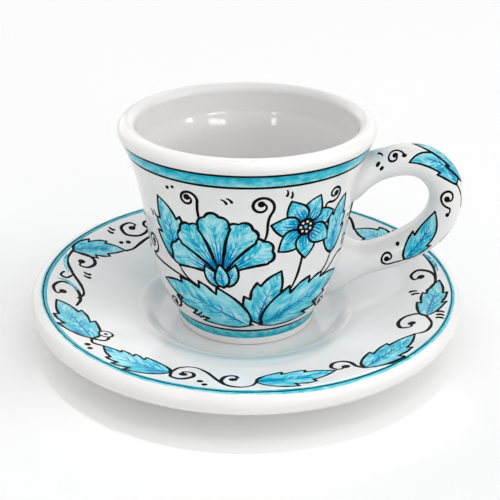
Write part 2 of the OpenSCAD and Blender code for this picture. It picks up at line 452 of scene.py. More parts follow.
def spiral(cv, centre, r, turns, start, hand, lead, w=0.78, ball=0.95, seed=0):
    """A tendril that winds in to a ball. lead is where its stem starts, and a point that it heads for."""
    n = int(22*turns)
    pts = []
    for k in range(n + 1):
        f = k/n
        rad = r*(1 - 0.78*f**0.9)
        a = radians(start) + hand*2*pi*turns*f
        pts.append((centre[0] + rad*cos(a), centre[1] + rad*sin(a)))
    if lead:
        a = radians(start + hand*84)
        k = 0.42*dist(lead[0], pts[0])
        to = (pts[0][0] - k*cos(a), pts[0][1] - k*sin(a))
        d = dist(lead[1], lead[0])
        out = tuple(lead[0][j] + (lead[1][j] - lead[0][j])*k/d for j in (0, 1))
        m = max(6, int(k*3))
        pts = [tuple((1-t)**3*lead[0][j] + 3*t*(1-t)**2*out[j] + 3*t*t*(1-t)*to[j] + t**3*pts[0][j]
                     for j in (0, 1)) for t in (i/m for i in range(m))] + pts
    tendril(cv, pts, w, 0.74, 1.1, ball, seed)


def curl(cv, points, w, ball, seed):
    """A tendril along points, with a ball at its end."""
    tendril(cv, smooth(points, 8), w, 0.72, 1.15, ball, seed)


def tendril(cv, pts, w, thin, lead, ball, seed):
    """Ink along pts, thin times w wide at the start and fuller in the middle, with a ball at the end."""
    ribbon(cv, INK, pts, lambda t: w*(thin + 0.36*sin(pi*min(1, t*lead))
                                      + 0.05*sin(13*t + seed)), ("ink", seed))
    disc(cv, INK, pts[-1], ball, ("ink", seed))


def stem(cv, points, w, seed):
    ribbon(cv, INK, smooth(points, 8), even(w, seed), ("ink", seed))


def comma(cv, x, y, angle, size=1.7, w=0.80):
    a = radians(angle)
    pts = [(x + size*t*cos(a + 0.5*t), y + size*t*sin(a + 0.5*t)) for t in (0, 0.25, 0.5, 0.75, 1)]
    ribbon(cv, INK, pts, lambda t: w*(1 - 0.45*t), ("ink", x))


def commas(cv, x, y, angle, n=2, gap=1.4, w=0.80):
    a = radians(angle + 90)
    for k in range(n):
        comma(cv, x + gap*k*cos(a), y + gap*k*sin(a), angle, w=w)


def dots(cv, x, y, angle, r=0.66, gap=2.0):
    a = radians(angle)
    for k in range(2):
        disc(cv, INK, (x + gap*k*cos(a), y + gap*k*sin(a)), r*(1 - 0.12*k), ("ink", x))


def new_object(name, data):
    ob = bpy.data.objects.new(name, data)
    bpy.context.scene.collection.objects.link(ob)
    return ob


def mesh_piece(name, surf, cols, canvas, v_paint, v_rows, kind_at, closed):
    """Builds one piece. The stretch v_paint is cut along the painted shapes; the rest is a plain grid.
    surf(u, v) gives a point and a normal in mm. cols and v_rows are the grid's columns and rows, and
    kind_at(v) names its material. A closed piece meets the axis at both ends."""
    width = canvas.width
    du = width/cols
    verts, normals, keys = [], [], {}
    faces, kinds, brushes = [], [], []

    def vert(u, v):
        if abs(u - width) < 1e-3 or abs(u) < 1e-3:
            u = 0.0
        for edge in v_paint:
            if abs(v - edge) < 1e-3:
                v, u = edge, (round(u/du) % cols)*du
        p, n = surf(u, v)
        pole = closed and hypot(p[0], p[1]) < 1e-4
        key = ("pole", round(v, 3)) if pole else (round(u, 4), round(v, 4))
        if key not in keys:
            keys[key] = len(verts)
            verts.append(Vector(p)*MM)
            normals.append(Vector(n).normalized())
        return keys[key]

    v_lo, v_hi = v_paint
    inner = [v for v in v_rows if v_lo + 0.3 < v < v_hi - 0.3]
    rows = [v_lo] + inner + [v_hi]
    pts, edges, polys, kinds_in = [], [], [], []
    for v in rows:
        shift = 0.0 if v in v_paint else (0.5*du if rows.index(v) % 2 else 0.0)
        base = len(pts)
        for j in range(cols + 1):
            pts.append((min(j*du + (shift if 0 < j < cols else 0), width), v))
        if v in v_paint:
            edges += [(base + j, base + j + 1) for j in range(cols)]
    for side in (0, cols):
        col = [i*(cols + 1) + side for i in range(len(rows))]
        edges += list(zip(col, col[1:]))
    where = {}
    for kind, poly, brush in canvas.shapes:
        for shift in (0.0, width, -width):
            us = [q[0] + shift for q in poly]
            if max(us) < 1e-3 or min(us) > width - 1e-3:
                continue
            ids = []
            for u, q in zip(us, poly):
                k = (round(min(max(u, 0.0), width), 4), round(min(max(q[1], v_lo), v_hi), 4))
                if k not in where:
                    where[k] = len(pts)
                    pts.append(k)
                if not ids or ids[-1] != where[k]:
                    ids.append(where[k])
            if len(ids) > 1 and ids[0] == ids[-1]:
                ids.pop()
            if len(ids) > 2:
                polys.append(ids)
                kinds_in.append((kind, brush, shift))
    out_v, _, out_f, _, _, orig_f = delaunay_2d_cdt([Vector(p) for p in pts], edges, polys, 0, 1e-4)

    def holds(poly, x, y):
        return all((b[0] - a[0])*(y - a[1]) - (b[1] - a[1])*(x - a[0]) > -1e-5 for a, b in edges_of(poly))

    for f, owners in zip(out_f, orig_f):
        uv = [out_v[i] for i in f]
        mx, my = sum(q[0] for q in uv)/len(uv), sum(q[1] for q in uv)/len(uv)
        top = next((k for k in sorted(owners, reverse=True)
                    if holds([pts[i] for i in polys[k]], mx, my)), None)
        kind, brush, shift = (GLAZE, None, 0.0) if top is None else kinds_in[top]
        area = doubled_area(uv)
        if abs(area) < 1e-7:
            continue
        if area < 0:
            uv = uv[::-1]
        ids = [vert(q[0], q[1]) for q in uv]
        if len(set(ids)) < 3:
            continue
        faces.append(ids)
        kinds.append(kind)
        brushes.append([brush_at(brush, (q[0] - shift, q[1]), canvas) for q in uv])
    for lo, hi in ((None, v_lo), (v_hi, None)):
        span = [v for v in v_rows if (lo is None or v > lo + 0.2) and (hi is None or v < hi - 0.2)]
        span = ([lo] if lo is not None else []) + span + ([hi] if hi is not None else [])
        for a, b in zip(span, span[1:]):
            for j in range(cols):
                u0, u1 = j*du, ((j + 1) % cols)*du
                ids = []
                for i in (vert(u0, a), vert(u1, a), vert(u1, b), vert(u0, b)):
                    if i not in ids:
                        ids.append(i)
                if len(ids) > 2:
                    faces.append(ids)
                    kinds.append(kind_at((a + b)/2))
                    brushes.append([(0, 0, 0)]*len(ids))
    me = bpy.data.meshes.new(name)
    me.from_pydata(verts, [], faces)
    ob = new_object(name, me)
    used = sorted(set(kinds))
    for k in used:
        me.materials.append(mats[k])
    me.polygons.foreach_set("material_index", [used.index(k) for k in kinds])
    me.polygons.foreach_set("use_smooth", [True]*len(faces))
    att = me.attributes.new("brush", "FLOAT_VECTOR", "CORNER")
    att.data.foreach_set("vector", [c for b in brushes for q in b for c in q])
    me.validate(clean_customdata=False)
    me.normals_split_custom_set_from_vertices(normals)
    me.update()
    return ob


def brush_at(brush, q, canvas):
    """Where a point lies on its brush stroke: along it, across it, and which stroke it is."""
    if brush is None:
        return (0.0, 0.0, 0.0)
    if brush[0] == "ring":
        return (q[0]*0.05, (q[1] - brush[1])/(brush[2] - brush[1])*2 - 1, brush[3])
    if brush[0] == "ink":
        return (q[0]*0.05, q[1]*0.05, float(brush[1]))
    _, phi, v0, flip, base, angle, length, half, seed = brush
    x = (q[0]/canvas.ref - phi)*canvas.radius_at(q[1])*flip - base[0]
    y = (q[1] - v0)*canvas.up - base[1]
    c, s = cos(angle), sin(angle)
    return ((x*c + y*s)/length, (-x*s + y*c)/half, seed)


def add_node(tree, kind, inputs=(), **settings):
    """Adds a node. An input is a value, or the socket that it is linked to."""
    n = tree.nodes.new(kind)
    for k, v in settings.items():
        setattr(n, k, v)
    for k, v in dict(inputs).items():
        if isinstance(v, bpy.types.NodeSocket):
            tree.links.new(v, n.inputs[k])
        else:
            n.inputs[k].default_value = v
    return n


def new_material(name):
    """A material and its shader, and functions that add a node, a base colour by a ramp, and bumps."""
    mat = bpy.data.materials.new(name)
    mat.use_nodes = True
    tree = mat.node_tree
    shader = next(n for n in tree.nodes if n.type == "BSDF_PRINCIPLED")

    def node(kind, inputs=(), **settings):
        return add_node(tree, kind, inputs, **settings)

    def colour(fac, stops):
        n = node("ShaderNodeValToRGB", {"Fac": fac})
        while len(n.color_ramp.elements) < len(stops):
            n.color_ramp.elements.new(0.5)
        for e, (pos, col) in zip(n.color_ramp.elements, stops):
            e.position, e.color = pos, rgb(*col)
        tree.links.new(n.outputs["Color"], shader.inputs["Base Color"])

    def bumps(height, strength, distance):
        n = node("ShaderNodeBump", {"Height": height, "Strength": strength, "Distance": distance})
        tree.links.new(n.outputs["Normal"], shader.inputs["Normal"])
    return mat, shader, node, colour, bumps


def rgb(r, g, b):
    """A colour as it shows on the screen, 0 to 255."""
    lin = lambda c: c/12.92 if c <= 0.04045 else ((c + 0.055)/1.055)**2.4
    return (lin(r/255), lin(g/255), lin(b/255), 1.0)


def math_node(node, op, *terms, clamp=False):
    return node("ShaderNodeMath", dict(enumerate(terms)), operation=op, use_clamp=clamp).outputs[0]


def noise(node, vector, scale, detail, rough=0.5):
    return node("ShaderNodeTexNoise", {"Vector": vector, "Scale": scale, "Detail": detail,
                                       "Roughness": rough}).outputs["Fac"]


# Specular levels of bare glaze, of paint and of the dark lines
GLAZE_GLOSS, PAINT_GLOSS, INK_GLOSS = 0.42, 0.15, 0.02


def gloss(shader, node, bumps, level, rough=0.08):
    """The glaze's surface: glossy, with the faint waves of a dipped glaze."""
    shader.inputs["Specular IOR Level"].default_value = level
    shader.inputs["Roughness"].default_value = rough
    shader.inputs["IOR"].default_value = 1.5
    pos = node("ShaderNodeTexCoord").outputs["Object"]
    bumps(noise(node, pos, 70.0, 2.0), 0.10, 0.0006)
    return pos


def make_glaze():
    """Warm white, a little cloudy."""
    mat, shader, node, colour, bumps = new_material("glaze")
    pos = gloss(shader, node, bumps, GLAZE_GLOSS)
    colour(noise(node, pos, 45.0, 3.0), [(0.35, (224, 223, 222)), (0.65, (230, 229, 228))])
    return mat


def make_wash():
    """Thin turquoise: blots, brush marks that lean out from the middle, and fuller colour at the base."""
    mat, shader, node, colour, bumps = new_material("wash")
    gloss(shader, node, bumps, PAINT_GLOSS)
    brush = node("ShaderNodeAttribute", attribute_name="brush").outputs["Vector"]
    along, across, seed = node("ShaderNodeSeparateXYZ", {0: brush}).outputs

    calc = lambda *terms, **more: math_node(node, *terms, **more)

    def marks(way, scale, detail, rough):
        at = node("ShaderNodeCombineXYZ", {0: calc("MULTIPLY", way, scale), 1: calc("MULTIPLY", across, 1.9),
                                           2: seed}).outputs[0]
        return noise(node, at, 1.0, detail, rough)
    side = calc("ABSOLUTE", across)
    blot = marks(along, 3.4, 3.0, 0.62)
    feather = marks(calc("MULTIPLY_ADD", side, -0.30, along), 15.0, 2.0, 0.55)
    near = calc("MULTIPLY_ADD", side, -0.9, 0.9, clamp=True)
    base = calc("MULTIPLY_ADD", along, -0.9, 0.7, clamp=True)
    tone = calc("MULTIPLY_ADD", blot, 1.9, -0.72)
    tone = calc("MULTIPLY_ADD", calc("ADD", feather, -0.46), calc("MULTIPLY_ADD", near, 1.9, 0.5), tone)
    tone = calc("MULTIPLY_ADD", base, 0.34, tone, clamp=True)
    colour(tone, [(0.0, (170, 222, 230)), (0.25, (132, 208, 220)), (0.5, (64, 188, 208)),
                  (0.75, (0, 162, 196)), (1.0, (0, 122, 176))])
    return mat


def make_flat(name, stops, along, across, rough=0.08, level=PAINT_GLOSS):
    """Paint whose tone wanders along its stroke."""
    mat, shader, node, colour, bumps = new_material(name)
    gloss(shader, node, bumps, level, rough)
    att = node("ShaderNodeAttribute", attribute_name="brush").outputs["Vector"]
    vec = node("ShaderNodeVectorMath", {0: att, 1: (along, across, 1.0)}, operation="MULTIPLY").outputs[0]
    colour(noise(node, vec, 1.0, 3.0, 0.6), stops)
    return mat


def make_band():
    """The bands: fuller colour along one edge, thin and streaky along the other."""
    mat, shader, node, colour, bumps = new_material("band")
    gloss(shader, node, bumps, PAINT_GLOSS)
    att = node("ShaderNodeAttribute", attribute_name="brush").outputs["Vector"]
    across = node("ShaderNodeSeparateXYZ", {0: att}).outputs[1]
    vec = node("ShaderNodeVectorMath", {0: att, 1: (8.0, 1.0, 1.0)}, operation="MULTIPLY").outputs[0]
    tone = math_node(node, "MULTIPLY_ADD", noise(node, vec, 1.0, 3.0, 0.6), 1.5, -0.25)
    tone = math_node(node, "MULTIPLY_ADD", across, 0.30, tone, clamp=True)
    colour(tone, [(0.05, (164, 216, 222)), (0.35, (104, 196, 208)), (0.62, (34, 174, 194)),
                  (0.95, (0, 146, 176))])
    return mat


def make_bare():
    """Dry, unglazed clay with a fine grain."""
    mat, shader, node, colour, bumps = new_material("biscuit")
    shader.inputs["Roughness"].default_value = 0.85
    grain = noise(node, node("ShaderNodeTexCoord").outputs["Object"], 1400.0, 4.0)
    colour(grain, [(0.3, (205, 178, 152)), (0.7, (226, 204, 180))])
    bumps(grain, 0.4, 0.0002)
    return mat


mats = {
    GLAZE: make_glaze(),
    WASH: make_wash(),
    DEEP: make_flat("deep_wash", [(0.3, (0, 96, 166)), (0.7, (0, 138, 190))], 6.0, 2.0),
    INK: make_flat("ink", [(0.35, (10, 8, 9)), (0.7, (30, 23, 22))], 3.0, 3.0, 0.12, INK_GLOSS),
    BAND: make_band(),
    BARE: make_bare(),
}


def turned(line, ref, seam):
    """The surface of a turned piece: a point and its normal for the chart's (u, v)."""
    def surf(u, v):
        (r, z), (nr, nz) = line.at(v)
        a = radians(seam) + u/ref
        return (r*cos(a), r*sin(a), z), (nr*cos(a), nr*sin(a), nz)
    return surf


def bare_foot(line, below, beyond):
    """Names a row's material: dry clay on the foot ring, lower than below and wider than beyond."""
    def kind_at(v):
        r, z = line.at(v)[0]
        return BARE if z < below and r > beyond else GLAZE
    return kind_at


# Saucer. REF is the radius at which a chart keeps its true width, and SEAM the azimuth where it is cut.
REF_S, SEAM_S, SAUCER_COLS = 48.0, 205.0, 288
SAUCER_PAINTED, BORDER_R, STRIPE_R = (59.3, 33.5), 50.0, 56.95
top_from = saucer_line.find(lambda p: p[0] > SAUCER_R - 0.01)
saucer_cv = Canvas(lambda v: max(saucer_line.at(v)[0][0], 5.0), REF_S, SEAM_S, up=-1)


def saucer_v(r):
    """Length along the profile to radius r on the saucer's upper side."""
    return saucer_line.reach(top_from, 0, r, -1)


def stripe(cv):
    """The stripe on the rim: turquoise with a dark line in it, a little off centre as it is by hand."""
    n = 300
    lines = {}
    for name, off in (("out", 0.66), ("mid_out", 0.14), ("mid_in", -0.20), ("in", -0.82)):
        row = []
        for i in range(n + 1):
            a = 2*pi*i/n
            az = degrees(a) + SEAM_S
            r = STRIPE_R + 0.55*cos(radians(az + 55)) + 0.4*cos(2*radians(az + 58))
            if name in ("out", "in"):
                r += 0.07*sin(7*a + len(name)) + 0.05*sin(17*a) + 0.22*sin(a - 0.6)
            row.append((cv.width*i/n, saucer_v(r + off*(1 - 0.2*cos(radians(az + 40))))))
        lines[name] = row
    for kind, lo, hi, seed in ((BAND, "out", "in", 5), (INK, "mid_out", "mid_in", 6)):
        a, b = lines[lo], lines[hi]
        for i in range(n):
            cv.shapes.append((kind, [a[i], a[i + 1], b[i + 1], b[i]], ("ring", a[i][1], b[i][1], seed)))


def paint_saucer(cv):
    stripe(cv)

    def at(deg, r, *path):
        cv.at(deg, saucer_v(r))
        return [cv.local(a, saucer_v(q)) for a, q in path]

    # Leaves: base and tip as azimuth and radius, half width, bend, teeth
    leaves = [(-79.3, 52.4, -57.2, 51.4, 4.6, -0.08, 2), (-50.4, 54.8, -27.0, 52.6, 4.1, -0.11, 2),
              (-15.2, 51.8, 6.5, 54.4, 3.5, -0.10, 2), (33, 50.2, 54, 49.2, 4.6, 0.04, 2),
              (75, 52.6, 98, 49.6, 4.7, -0.10, 3), (-102.6, 51.2, -127, 50.4, 4.6, -0.04, 3),
              (-132.4, 50.4, -157.6, 53.0, 4.6, 0.13, 2), (170.3, 54.2, 156.6, 43.4, 4.3, -0.12, 2),
              (126, 52.0, 106, 49.4, 4.5, 0.06, 2)]
    for k, (a0, r0, a1, r1, half, bend, teeth) in enumerate(leaves):
        b, t = at((a0 + a1)/2, BORDER_R, (a0, r0), (a1, r1))
        leaf_to(cv, b, t, half, bend=bend, teeth=teeth, seed=20 + k, ink=0.76)
    # Tendrils: centre, radius, start angle, hand, the stem's start and heading, turns
    tendrils = [(28.4, 47.6, 3.2, 230, 1, [(33.2, 50.4), (31.6, 48.2)], 1.15),
                (61.0, 48.4, 3.7, 60, -1, [(70.5, 54.0), (66.5, 54.0)], 1.2),
                (101.5, 46.4, 3.2, 0, 1, [(105.8, 49.4), (104.5, 50.6)], 1.1),
                (137.0, 49.6, 3.0, 200, 1, [(130.6, 49.6), (133.4, 48.0)], 1.1)]
    for k, (a, r, size, start, hand, lead, turns) in enumerate(tendrils):
        c, *path = at(a, r, (a, r), *lead)
        spiral(cv, c, size, turns, start, hand, path, w=0.9, ball=1.05, seed=40 + k)
    curls = [
        [(-50.6, 54.7), (-51.4, 52.4), (-50.9, 49.4), (-52.0, 47.1), (-54.8, 46.7), (-57.0, 49.0),
         (-56.0, 51.4), (-53.6, 50.8)],
        [(-15.4, 51.8), (-13.6, 49.2), (-15.4, 46.2), (-19.4, 45.4), (-23.2, 47.2), (-22.4, 49.6), (-20.0, 49.2)],
        [(7.0, 53.4), (10.4, 53.6), (13.6, 52.4), (15.6, 50.0), (13.6, 47.7), (10.4, 48.0), (11.0, 50.0)],
        [(-102.4, 51.2), (-101.4, 53.4), (-98.4, 53.6), (-96.2, 51.0), (-97.4, 48.6), (-99.8, 49.0),
         (-99.2, 50.6)],
        [(-86.8, 54.4), (-88.4, 52.0), (-87.8, 48.8), (-85.6, 47.8), (-84.3, 49.2), (-85.4, 50.6)],
        [(-155.0, 48.0), (-159.5, 46.6), (-164.5, 47.0), (-168.6, 49.0), (-169.4, 52.0), (-166.0, 53.8),
         (-162.0, 52.8), (-163.4, 51.2)],
        [(170.8, 54.0), (170.5, 52.2), (169.9, 49.8), (170.8, 47.4), (173.6, 46.2), (177.0, 47.2),
         (177.4, 49.4), (174.8, 49.8)],
        [(139.5, 47.4), (141.5, 46.4), (145.3, 46.3), (148.6, 48.7), (147.2, 52.2), (143.4, 52.8),
         (142.0, 51.0), (144.2, 50.2)]]
    for k, path in enumerate(curls):
        curl(cv, at(*path[len(path)//2], *path), 1.02, 1.12, 50 + k)
    stems = [
        [(-79.3, 52.4), (-80.6, 54.4), (-83.4, 55.4), (-86.8, 54.4), (-89.8, 51.2), (-94.0, 46.4),
         (-98.6, 44.4), (-102.2, 46.6), (-102.6, 51.2)],
        [(-27.0, 52.2), (-24.6, 54.6), (-19.8, 54.4), (-15.2, 51.8)],
        [(33.2, 50.4), (30.6, 52.8), (25.0, 54.5), (17.8, 54.6), (11.4, 54.1), (7.0, 53.4), (4.0, 52.4),
         (1.6, 50.6)],
        [(54.2, 49.2), (60.0, 53.6), (67.0, 54.6), (72.0, 53.8), (75.0, 52.6)],
        [(98.2, 49.6), (101.0, 52.6), (104.0, 52.0), (106.0, 49.4)],
        [(126.2, 52.0), (130.0, 50.2), (134.0, 46.2), (140.0, 44.6), (147.0, 43.4), (152.6, 42.6), (156.4, 43.2)],
        [(170.5, 54.3), (176.7, 53.4), (183.2, 50.2), (189.8, 46.8), (195.8, 45.6), (199.6, 47.2)],
        [(184.4, 49.6), (187.4, 51.0), (186.4, 52.8), (184.2, 52.4)],
        [(-127.0, 50.4), (-129.8, 51.8), (-132.6, 50.6)],
        [(-132.2, 50.4), (-130.2, 48.4), (-131.2, 46.4), (-133.2, 45.6)]]
    for k, path in enumerate(stems):
        stem(cv, at(*path[len(path)//2], *path), 0.86, 60 + k)
    # Commas, or dots where the last number is 0: azimuth, radius, turn, how many
    for k, (a, r, turn, n) in enumerate((
            (-93.6, 53.4, 50, 0), (2.6, 46.2, 70, 2), (-12.6, 54.4, 80, 3), (-176.6, 45.2, 75, 2),
            (152.2, 51.6, 60, 2), (151.4, 45.6, 30, 0), (-129.4, 53.6, 20, 0), (44.0, 41.6, 40, 0),
            (69.0, 46.4, 70, 2), (88.0, 41.8, 20, 0), (115.0, 41.8, 60, 2), (135.0, 53.6, 70, 2))):
        at(a, r)
        if n:
            commas(cv, 0, 0, turn, n, 1.8, 1.25)
        else:
            dots(cv, 0, 0, turn, 0.85, 2.3)
    at(-134.6, 45.6)
    for kind, r in ((INK, 2.2), (GLAZE, 1.5), (INK, 0.6)):
        disc(cv, kind, (0, 0), r, ("ink", 9) if kind == INK else None, 18)
    # Loose strokes of wash beside the stems
    for k, path in enumerate(([(173.5, 54.8), (178.5, 53.6), (184.0, 51.0)],
                              [(188.8, 53.2), (189.6, 50.2), (194.0, 47.4)],
                              [(24.0, 54.9), (18.0, 55.4), (12.0, 55.0)])):
        pts = at(*path[1], *path)
        ribbon(cv, WASH, smooth(pts, 6), lambda t: 1.1*sin(pi*(0.12 + 0.8*t)),
               cv.stroke(pts[0], 0.0, 9.0, 4.0, 3.0 + k))


paint_saucer(saucer_cv)
saucer = mesh_piece("saucer_glazed", turned(saucer_line, REF_S, SEAM_S), SAUCER_COLS, saucer_cv,
                    tuple(saucer_v(r) for r in SAUCER_PAINTED), saucer_line.v,
                    bare_foot(saucer_line, 0.12, RING_R - RING_W - 0.6), True)

# Cup bowl. The painting's heights are those of its lower and upper edges.
REF_C, SEAM_C, CUP_COLS = 28.0, 0.0, 192
CUP_PAINTED, CUP_MID = (6.2, 60.1), 33.0
TOP_BAND, TOP_LINE, TOP_UNDERLINE = (55.65, 59.0), (58.75, 59.45), (55.25, 55.95)
FOOT_BAND, FOOT_LINE = (7.05, 9.8), (9.55, 10.5)
outside_from = cup_line.find(lambda p: p[0] > FOOT_R - 0.05)
cup_cv = Canvas(lambda v: max(cup_line.at(v)[0][0], 5.0), REF_C, SEAM_C)


def cup_v(z):
    """Length along the profile to height z on the cup's outside."""
    return cup_line.reach(outside_from, 1, z, 1)


def bouquet(cv, deg, flip, seed):
    """Leaves, a fan-shaped blossom and an open flower that spring from one root near the foot."""
    cv.at(deg, cup_v(CUP_MID), flip)
    stem(cv, [(1.8, -21), (-1.5, -16), (-4.4, -12), (-6.2, -8.5)], 0.74, seed)
    stem(cv, [(3.4, -21), (9.4, -13), (13.4, -5), (15.4, 4)], 0.74, seed + 1)
    for x, y, r, turns, start, hand, x0, y0, x1, y1, k in (
            (3.6, 17.4, 3.3, 1.35, -30, 1, 3.6, 6.0, 7.0, 10.0, 32),
            (-15.0, 18.0, 2.7, 1.3, 0, 1, -9.0, 6.0, -11.0, 10.0, 36),
            (24.4, 17.4, 2.7, 1.25, 250, 1, 20.0, 6.0, 22.0, 10.0, 37),
            (-30.4, -0.6, 3.3, 1.3, -70, 1, -13.0, -8.6, -19.0, -4.4, 31),
            (-22.0, -17.6, 2.8, 1.25, 40, -1, -6.0, -19.6, -12.0, -20.6, 34),
            (23.6, -18.2, 2.6, 1.2, 150, 1, 9.0, -20.2, 14.0, -21.2, 35),
            (33.4, -1.4, 2.8, 1.25, 250, 1, 22.0, -7.6, 27.0, -7.0, 33)):
        spiral(cv, (x, y), r, turns, start, hand, [(x0, y0), (x1, y1)], seed=seed + k)
    stem(cv, [(12.4, -12), (18, -9), (23.0, -5.5), (25.4, -1.4)], 0.62, seed + 2)
    stem(cv, [(-2.6, -12), (-10, -9.5), (-16.0, -6.5), (-19.4, -2.4)], 0.62, seed + 3)
    leaf(cv, (3.0, -20), 71, 18.5, 4.9, bend=0.10, teeth=2, seed=seed + 4)
    leaf(cv, (1.0, -21.2), 157, 28.5, 6.0, bend=-0.16, teeth=3, seed=seed + 5, tip=0.02)
    leaf(cv, (4.2, -21.2), 25, 28.5, 6.0, bend=0.16, teeth=3, seed=seed + 6, tip=-0.02)
    leaf(cv, (-19.4, -2.6), 107, 19.5, 4.9, bend=-0.12, teeth=2, seed=seed + 7)
    leaf(cv, (25.4, -1.6), 76, 17.5, 4.2, bend=0.10, teeth=2, seed=seed + 8)
    daisy(cv, (15.4, 9.6), 9.6, 7, 3.0, 14, 2.4, seed + 10)
    fan_flower(cv, (-6.4, -3.2), 98, 18.0, seed + 20)
    commas(cv, 11.0, 19.4, 60)
    commas(cv, -3.6, 18.6, 110)
    dots(cv, -21.0, 20.0, 20, 0.6, 1.8)
    commas(cv, -27.0, 9.0, 100)
    dots(cv, 30.4, -13.5, 20)
    commas(cv, -12.8, -20.2, 20, 2)
    dots(cv, 34.6, 6.4, 80)


def sprig(cv, deg, flip, seed):
    """A short branch that fills a narrow place."""
    cv.at(deg, cup_v(CUP_MID), flip)
    spiral(cv, (11.6, 3.0), 3.5, 1.3, 250, 1, [(0.6, -7.0), (4.5, -6.0)], seed=seed + 4)
    spiral(cv, (8.0, -18.4), 2.9, 1.2, 130, 1, [(-1.8, -20.5), (1.5, -21.5)], seed=seed + 5)
    spiral(cv, (-12.4, 13.6), 3.4, 1.3, -60, 1, [(0.2, -1.0), (-4.0, 3.0)], seed=seed + 6)
    stem(cv, [(-2, -20.6), (-1.2, -12), (1.5, -4), (0.8, 4)], 0.74, seed)
    leaf(cv, (-1.8, -19.6), 131, 18.5, 4.8, bend=-0.12, teeth=2, seed=seed + 1)
    leaf(cv, (-1.0, -14), 34, 17.5, 4.5, bend=0.12, teeth=2, seed=seed + 2)
    leaf(cv, (0.6, -4), 146, 15.0, 4.0, bend=-0.10, teeth=2, seed=seed + 3)
    daisy(cv, (1.0, 9.6), 8.4, 6, 2.9, 0, 2.3, seed + 10)
    commas(cv, 11.6, 14.8, 60)
    dots(cv, -14.6, 5.0, 70)
    commas(cv, 14.6, -10.0, 30)
    dots(cv, -13.6, -18.6, 20)


def paint_cup(cv):
    for kind, (low, high), seed, wobble, full in (
            (BAND, TOP_BAND, 11, 0.05, 1), (INK, TOP_LINE, 12, 0.05, 1), (INK, TOP_UNDERLINE, 13, 0.06, 1),
            (BAND, FOOT_BAND, 14, 0.06, -1), (INK, FOOT_LINE, 15, 0.06, 1)):
        cv.ring(kind, cup_v(low), cup_v(high), seed, wobble, full)
    bouquet(cv, 278, 1, 100)
    bouquet(cv, 139, -1, 140)
    sprig(cv, 43, 1, 180)


paint_cup(cup_cv)
cup_bowl = mesh_piece("cup_bowl_glazed", turned(cup_line, REF_C, SEAM_C), CUP_COLS, cup_cv,
                      tuple(cup_v(z) for z in CUP_PAINTED), cup_line.v,
                      bare_foot(cup_line, CUP_Z + 0.12, foot_in - 0.5), True)


# Handle: two edges of a loop in the x-z plane, each point a share of the way out and up
def wall_r(z):
    return lookup(z, wall_by_z)


def edge_points(shares):
    out = []
    for share_out, share_up in shares:
        z = CUP_Z + HANDLE_H*share_up
        r0 = wall_r(z) - BITE
        out.append((r0 + (REACH - r0)*share_out, z))
    return smooth(out, 10)


outer_edge, inner_edge = edge_points(OUTER), edge_points(INNER)
mid_line = [((a[0] + b[0])/2, (a[1] + b[1])/2) for a, b in zip(outer_edge, inner_edge)]
half_line = [((a[0] - b[0])/2, (a[1] - b[1])/2) for a, b in zip(outer_edge, inner_edge)]
s_line = [0.0]
for a, b in zip(mid_line, mid_line[1:]):
    s_line.append(s_line[-1] + dist(a, b))
S_END = s_line[-1]
REF_H, HANDLE_COLS, HANDLE_ROWS = 4.9, 48, 110
ROOT_FIT = 2.2  # how far from its ends the handle follows the bowl's curve


def handle_point(u, v):
    v = min(max(v, 0.0), S_END)
    i = min(max(next((k for k, s in enumerate(s_line) if s >= v), 1), 1), len(s_line) - 1)
    f = (v - s_line[i - 1])/(s_line[i] - s_line[i - 1])
    t = (i - 1 + f)/(len(s_line) - 1)
    mid, half = mix(mid_line[i - 1], mid_line[i], f), mix(half_line[i - 1], half_line[i], f)
    w = HANDLE_W + (ROOT_W - HANDLE_W)*max(1 - ease(t/0.16), 1 - ease((1 - t)/0.28))
    a = u/REF_H - pi
    x, z = mid[0] + half[0]*cos(a), mid[1] + half[1]*cos(a)
    y = w/2*sin(a)
    near = max(1 - v/ROOT_FIT, 1 - (S_END - v)/ROOT_FIT, 0.0)
    if near > 0:
        r0 = wall_r(z) - BITE
        x += (sqrt(r0*r0 - y*y) - r0)*near
    return Vector((x, y, z))


def handle_surf(u, v):
    p = handle_point(u, v)
    d = 0.05
    pu = handle_point(u + d, v) - handle_point(u - d, v)
    pv = handle_point(u, min(v + d, S_END)) - handle_point(u, max(v - d, 0))
    n = pu.cross(pv)
    return tuple(p), tuple(n.normalized())


